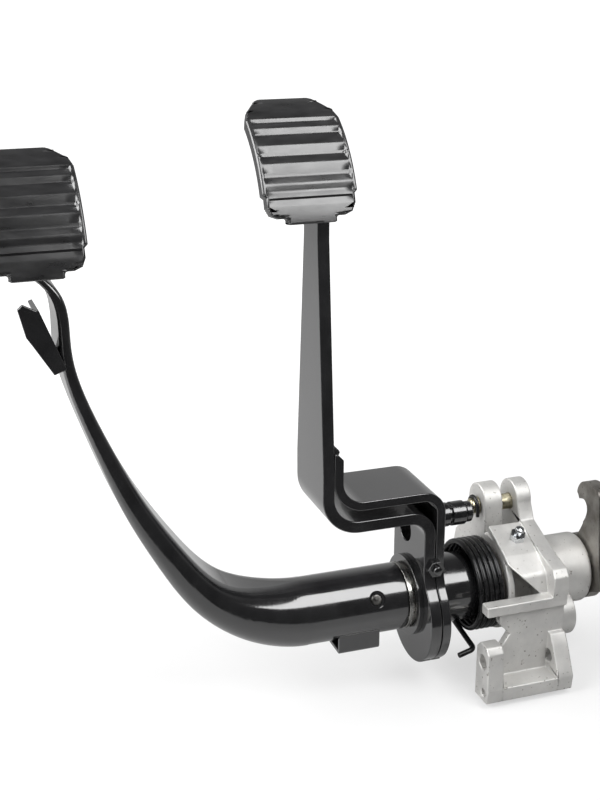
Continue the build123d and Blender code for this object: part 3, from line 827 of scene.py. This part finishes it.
def ring_points(centre: tuple, radius: float, count: int = 48) -> tuple:
    """Points round a circle that faces along the shaft.

    Args:
        centre: its centre in millimetres.
        radius: its radius in millimetres.
        count: the number of points.

    Returns:
        The points.
    """
    x, y, z = centre
    turns = [2 * math.pi * step / count for step in range(count)]
    return tuple((x, y + radius * math.cos(t), z + radius * math.sin(t)) for t in turns)


@dataclass
class GreaseNipple:
    """A grease nipple: hexagon, waist and ball head, turned about its own axis."""

    name: str
    node: str
    body: Body
    finish: Finish
    base: tuple
    axis: tuple
    hex_mm: float
    hex_height: float
    waist_mm: float
    head_mm: float
    head_height: float
    head_steps: tuple = ((0.0, 1.0), (0.35, 1.0), (0.85, 0.86), (1.0, 0.66), (0.9, 0.5))
    waist_top: float = 0.34
    waist_sink: float = 0.3
    turn_steps: int = 28
    merge_distance: float = 0.000005
    smooth_angle: float = 30.0
    edge_round: float = 0.25

    def build(self) -> None:
        """Turn the head, add the hexagon, and stand both on the base point."""
        shape = bmesh.new()
        profile = [
            (self.head_mm * across, self.hex_height + self.head_height * up)
            for across, up in self.head_steps
        ]
        profile.append((self.waist_mm, self.hex_height + self.head_height * self.waist_top))
        profile.append((self.waist_mm, self.hex_height - self.waist_sink))
        verts = [shape.verts.new((radius * MM, 0, height * MM)) for radius, height in profile]
        edges = [shape.edges.new(pair) for pair in zip(verts, verts[1:])]
        bmesh.ops.spin(
            shape, geom=verts + edges, cent=(0, 0, 0), axis=(0, 0, 1), dvec=(0, 0, 0),
            angle=2 * math.pi, steps=self.turn_steps, use_merge=True, use_duplicate=False,
        )
        bmesh.ops.remove_doubles(shape, verts=shape.verts, dist=self.merge_distance)
        hexagon = bmesh.ops.create_circle(
            shape, cap_ends=True, segments=6, radius=self.hex_mm * MM
        )["verts"]
        face = hexagon[0].link_faces[0]
        lifted = bmesh.ops.extrude_face_region(shape, geom=[face], use_keep_orig=True)["geom"]
        top = [item for item in lifted if isinstance(item, bmesh.types.BMVert)]
        bmesh.ops.translate(shape, verts=top, vec=(0, 0, self.hex_height * MM))
        bmesh.ops.recalc_face_normals(shape, faces=shape.faces)
        turn = Vector(self.axis).to_track_quat("Z", "X").to_matrix().to_4x4()
        bmesh.ops.transform(
            shape, verts=shape.verts, matrix=Matrix.Translation(Vector(self.base) * MM) @ turn
        )
        piece = to_object(shape, self.name, self.smooth_angle)
        soften(piece, self.edge_round)
        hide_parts(self.node)
        wear(piece, self.body, self.finish)


@dataclass
class BrakeLever:
    """The two bent bars of the brake lever with hub, welds, pin, nipple and pad."""

    bar_round: float = 0.7
    bar_steps: int = 3
    small_round: float = 0.3
    hub_weld_place: tuple = (14.4, 0, 0)
    hub_weld_ring: float = 22.0
    hub_weld_radius: float = 1.5
    brace_weld_ends: tuple = ((-54.6, -21, 107.6), (-54.6, 21, 107.6))
    brace_weld_radius: float = 2.0
    pad_place: tuple = (-73.5, 38.4, 229.6)
    nipple_place: tuple = (8.0, -22.6, 27.0)
    nipple_axis: tuple = (0, -1, 0)
    nipple_sizes: tuple = (5.4, 3.4, 2.4, 3.0, 3.2)

    def build(self) -> None:
        """Make the brake lever's pieces."""
        for node in ("brake_arm", "brake_brace"):
            SoftCopy(node, Body.BRAKE, ENAMEL, self.bar_round, self.bar_steps).build()
        for node, finish in (
            ("brake_hub", ENAMEL), ("pushrod_pin", OXIDE), ("brake_bush_left", TINNED),
            ("brake_bush_right", BRONZE), ("brake_pad_plate", ENAMEL),
        ):
            SoftCopy(node, Body.BRAKE, finish, self.small_round).build()
        ring = ring_points(self.hub_weld_place, self.hub_weld_ring)
        WeldBead("weld_hub_ring", Body.BRAKE, ring, self.hub_weld_radius, True).build()
        WeldBead(
            "weld_brace_end", Body.BRAKE, self.brace_weld_ends, self.brace_weld_radius
        ).build()
        PadCover("brake_pad_cover", "brake_pad_rubber", Body.BRAKE, *self.pad_place).build()
        GreaseNipple(
            "brake_nipple", "brake_grease_nipple", Body.BRAKE, OXIDE,
            self.nipple_place, self.nipple_axis, *self.nipple_sizes,
        ).build()


@dataclass
class ClutchLever:
    """The swaged clutch lever with its shaft, pad, stops and cable hook."""

    pad_place: tuple = (-217.0, 31.4, 212.6)
    pad_top_angle: float = 70.5

    def build(self) -> None:
        """Make the clutch lever's pieces."""
        for node, finish, width in (
            ("stop_tag", ENAMEL, 0.4), ("stop_channel", ENAMEL, 0.5),
            ("clutch_pad_plate", ENAMEL, 0.3), ("clutch_shaft", TURNED, 0.3),
            ("thrust_washer", TURNED, 0.25), ("hook_washer", TURNED, 0.1),
            ("cross_pin", ROLLED, 0.2),
        ):
            SoftCopy(node, Body.CLUTCH, finish, width).build()
        PadCover(
            "clutch_pad_cover", "clutch_pad_rubber", Body.CLUTCH,
            *self.pad_place, self.pad_top_angle,
        ).build()
        keep_node("clutch_arm", ENAMEL)
        keep_node("cable_hook", FORGING)


@dataclass
class Bracket:
    """The cast bracket with its bushes, pin, clip, nipple and spring."""

    casting_round: float = 0.9
    casting_steps: int = 3
    nipple_place: tuple = (69.5, -9.0, 30.4)
    nipple_axis: tuple = (0, -0.41, 0.91)
    nipple_sizes: tuple = (5.0, 4.6, 2.3, 3.0, 5.6)

    def build(self) -> None:
        """Make the bracket's pieces."""
        SoftCopy(
            "mounting_casting", Body.BRACKET, CASTING, self.casting_round, self.casting_steps
        ).build()
        for node, finish, width in (
            ("casting_bush_left", BRONZE, 0.2), ("casting_bush_right", BRONZE, 0.2),
            ("accelerator_pin", ZINC, 0.25),
        ):
            SoftCopy(node, Body.BRACKET, finish, width).build()
        GreaseNipple(
            "web_nipple", "web_grease_nipple", Body.BRACKET, BRIGHT_ZINC,
            self.nipple_place, self.nipple_axis, *self.nipple_sizes,
        ).build()
        for node in ("return_spring", "pin_clip"):
            keep_node(node, WIRE)


def main() -> None:
    """Build the studio, then each sub-assembly in order."""
    logging.basicConfig(level=logging.INFO)
    Studio().build()
    for assembly in (BrakeLever(), ClutchLever(), Bracket()):
        assembly.build()
    bpy.context.view_layer.update()


if __name__ == "__main__":
    main()
